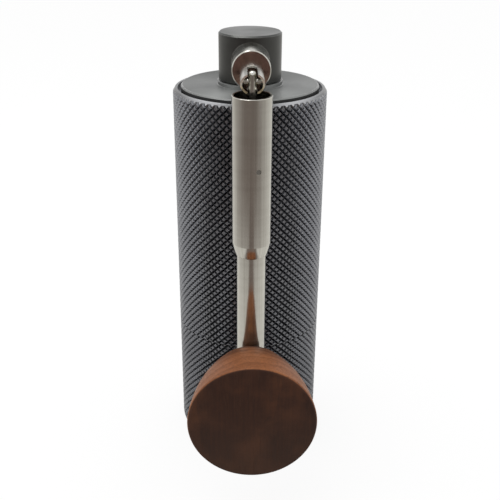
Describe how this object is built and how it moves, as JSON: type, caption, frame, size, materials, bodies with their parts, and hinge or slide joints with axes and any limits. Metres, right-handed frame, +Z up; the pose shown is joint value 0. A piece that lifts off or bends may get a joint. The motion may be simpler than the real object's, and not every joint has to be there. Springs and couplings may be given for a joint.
{
  "type": "hand crank coffee grinder",
  "caption": "Slim upright hand coffee grinder with a knurled body, screw-on grounds bin, lift-off lid and a folding steel crank with a wooden knob.",
  "frame": {"origin": "centre of the flat base, on the crank axis", "axes": "+Z up along the crank axis; the folded arm hangs on the -Y side; +X to the right seen from the arm's side"},
  "size_m": [0.052, 0.0942, 0.1495],
  "materials": {
    "dark_aluminium": "dark grey anodised, diamond knurled",
    "grey_aluminium": "grey bead blasted and anodised",
    "hub_aluminium": "grey bead blasted and anodised",
    "polished_steel": "polished stainless steel",
    "burr_steel": "ground steel",
    "brass": "turned brass",
    "walnut": "oiled walnut",
    "black_plastic": "moulded, matte",
    "black_rubber": "moulded rubber"
  },
  "bodies": {
    "bin": {"grounds_bin": "dark_aluminium"},
    "bin_thread": {"bin_seal": "black_rubber"},
    "housing": {"outer_body": "dark_aluminium", "outer_burr": "burr_steel", "burr_screws": "polished_steel", "hopper_liner": "black_plastic", "snap_ring": "polished_steel", "lower_bearing_carrier": "black_plastic", "upper_bearing_carrier": "black_plastic", "lower_outer_race": "polished_steel", "upper_outer_race": "polished_steel"},
    "ball_cages": {"lower_bearing_balls": "polished_steel", "upper_bearing_balls": "polished_steel", "lower_ball_cage": "brass", "upper_ball_cage": "brass"},
    "rotor": {"drive_shaft": "polished_steel", "shaft_clip": "polished_steel", "dial_clip": "polished_steel", "spring_washer": "polished_steel", "burr_spring": "polished_steel", "lower_inner_race": "polished_steel", "upper_inner_race": "polished_steel"},
    "burr": {"inner_burr": "burr_steel", "click_plate": "polished_steel"},
    "dial": {"adjusting_dial": "black_plastic", "click_balls": "polished_steel", "click_springs": "polished_steel"},
    "head": {"crank_hub": "hub_aluminium", "hub_clip": "polished_steel", "stub_collar": "polished_steel", "collar_pin": "polished_steel", "pivot_fork": "polished_steel", "hinge_pin": "polished_steel"},
    "lid": {"lid": "grey_aluminium", "lid_bush": "black_plastic", "lid_seal": "black_rubber"},
    "tongue": {"tongue_rod": "polished_steel", "tongue_button": "polished_steel", "lock_spring": "polished_steel"},
    "arm": {"crank_arm": "polished_steel", "guide_bush": "brass", "bush_screw": "polished_steel", "knob_axle": "polished_steel", "knob_washer": "black_plastic"},
    "knob": {"knob": "walnut", "knob_bush": "brass"}
  },
  "joints": [
    {"name": "body_lift", "type": "slide", "parent": "bin", "child": "bin_thread", "axis": [0, 0, 1], "range_m": [0, 0.008]},
    {"name": "body_unscrew", "type": "hinge", "parent": "bin_thread", "child": "housing", "pos_m": [0, 0, 0.0444], "axis": [0, 0, 1], "range_deg": [0, 720]},
    {"name": "crank_turn", "type": "hinge", "parent": "housing", "child": "rotor", "pos_m": [0, 0, 0.1105], "axis": [0, 0, 1], "continuous": true},
    {"name": "cage_turn", "type": "hinge", "parent": "housing", "child": "ball_cages", "pos_m": [0, 0, 0.1105], "axis": [0, 0, 1], "continuous": true},
    {"name": "burr_adjust", "type": "slide", "parent": "rotor", "child": "burr", "axis": [0, 0, 1], "range_m": [0, 0.001], "deforming": ["burr_spring"]},
    {"name": "dial_turn", "type": "hinge", "parent": "burr", "child": "dial", "pos_m": [0, 0, 0.0287], "axis": [0, 0, 1], "range_deg": [0, 360]},
    {"name": "head_lift", "type": "slide", "parent": "rotor", "child": "head", "axis": [0, 0, 1], "range_m": [0, 0.02]},
    {"name": "lid_turn", "type": "hinge", "parent": "head", "child": "lid", "pos_m": [0, 0, 0.1296], "axis": [0, 0, 1], "continuous": true},
    {"name": "arm_fold", "type": "hinge", "parent": "head", "child": "tongue", "pos_m": [0, -0.0375, 0.14135], "axis": [-1, 0, 0], "range_deg": [0, 90]},
    {"name": "arm_pull", "type": "slide", "parent": "tongue", "child": "arm", "axis": [0, 0, -1], "range_m": [0, 0.01], "stiffness_N_per_m": 150, "springref_m": -0.02, "deforming": ["lock_spring"]},
    {"name": "knob_spin", "type": "hinge", "parent": "arm", "child": "knob", "pos_m": [0, -0.0428, 0.04255], "axis": [0, -1, 0], "continuous": true}
  ],
  "couplings": [
    {"joint": "body_unscrew", "follows": "body_lift", "rad_per_m": 1570.8},
    {"joint": "cage_turn", "follows": "crank_turn", "ratio": 0.3828},
    {"joint": "lid_turn", "follows": "crank_turn", "ratio": -1},
    {"joint": "dial_turn", "follows": "burr_adjust", "rad_per_m": 6283.2}
  ]
}
